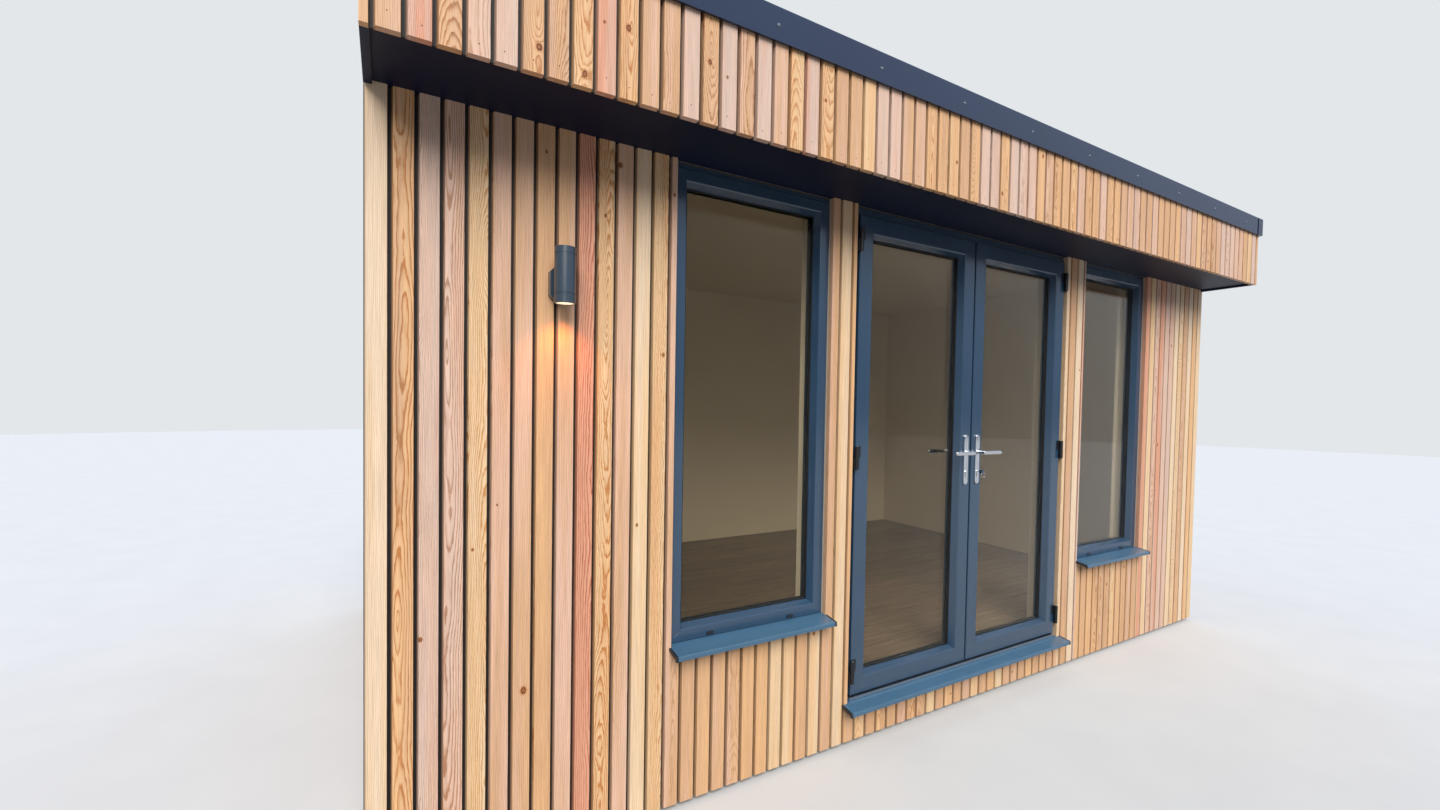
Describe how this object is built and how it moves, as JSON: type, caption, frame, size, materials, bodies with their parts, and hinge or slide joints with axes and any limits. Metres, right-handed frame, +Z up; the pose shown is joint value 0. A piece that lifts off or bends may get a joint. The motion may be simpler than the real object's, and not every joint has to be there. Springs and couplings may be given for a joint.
{
  "type": "garden office pod",
  "caption": "Flat-roofed timber garden office with vertical boards, a canopy front, glazed double doors that open outward and tall fixed windows.",
  "frame": {"origin": "on the ground, in the middle of the outline of the whole building", "axes": "+X to the right along the front wall, +Y from the front wall into the building, +Z up"},
  "size_m": [4.796, 3.108, 2.615],
  "materials": {
    "larch": "oiled",
    "structural_timber": "sawn",
    "painted_board": "painted",
    "laminate": "satin",
    "membrane": "matte",
    "edge_trim": "satin",
    "frame_plastic": "foiled",
    "glazing": "clear",
    "threshold_metal": "mill",
    "polished_metal": "polished",
    "hinge_metal": "satin",
    "light_metal": "matte",
    "light_glass": "clear"
  },
  "bodies": {
    "building": {"back_cladding": "larch", "back_wall": "painted_board", "base_bearers": "structural_timber", "canopy_end_cladding": "larch", "canopy_framing": "structural_timber", "ceiling": "painted_board", "door_frame": "frame_plastic", "door_sill": "frame_plastic", "door_threshold": "threshold_metal", "fascia_cladding": "larch", "floor_base": "structural_timber", "floor_covering": "laminate", "floor_deck": "structural_timber", "front_cladding": "larch", "front_cladding_under_openings": "larch", "front_wall_header": "painted_board", "front_wall_panels": "painted_board", "front_wall_under_windows": "painted_board", "hinge_posts": "hinge_metal", "light_lens": "light_glass", "roof_covering": "membrane", "roof_deck": "structural_timber", "roof_trim_back": "edge_trim", "roof_trim_front": "edge_trim", "roof_trim_sides": "edge_trim", "side_cladding": "larch", "side_walls": "painted_board", "soffit": "frame_plastic", "wall_light": "light_metal", "window_frame_left": "frame_plastic", "window_frame_right": "frame_plastic", "window_glass": "glazing", "window_sills": "frame_plastic"},
    "door_left": {"left_leaf": "frame_plastic", "left_leaf_glass": "glazing", "left_hinge_flags": "hinge_metal", "left_backplates": "polished_metal", "left_lock_cylinder": "polished_metal"},
    "door_right": {"right_leaf": "frame_plastic", "right_leaf_glass": "glazing", "right_hinge_flags": "hinge_metal", "right_backplates": "polished_metal", "right_lock_cylinder": "polished_metal"},
    "handle_left": {"left_lever": "polished_metal"},
    "handle_right": {"right_lever": "polished_metal"}
  },
  "joints": [
    {"name": "left_door_hinge", "type": "hinge", "parent": "building", "child": "door_left", "pos_m": [-0.6685, -1.265, 1.193], "axis": [0, 0, -1], "range_deg": [0, 90]},
    {"name": "right_door_hinge", "type": "hinge", "parent": "building", "child": "door_right", "pos_m": [0.7865, -1.265, 1.193], "axis": [0, 0, 1], "range_deg": [0, 90]},
    {"name": "left_lever_turn", "type": "hinge", "parent": "door_left", "child": "handle_left", "pos_m": [0.018, -1.221, 1.197], "axis": [0, -1, 0], "range_deg": [0, 40], "stiffness_Nm_per_rad": 1.2, "springref_deg": -40.11},
    {"name": "right_lever_turn", "type": "hinge", "parent": "door_right", "child": "handle_right", "pos_m": [0.1, -1.221, 1.197], "axis": [0, 1, 0], "range_deg": [0, 40], "stiffness_Nm_per_rad": 1.2, "springref_deg": -40.11}
  ]
}
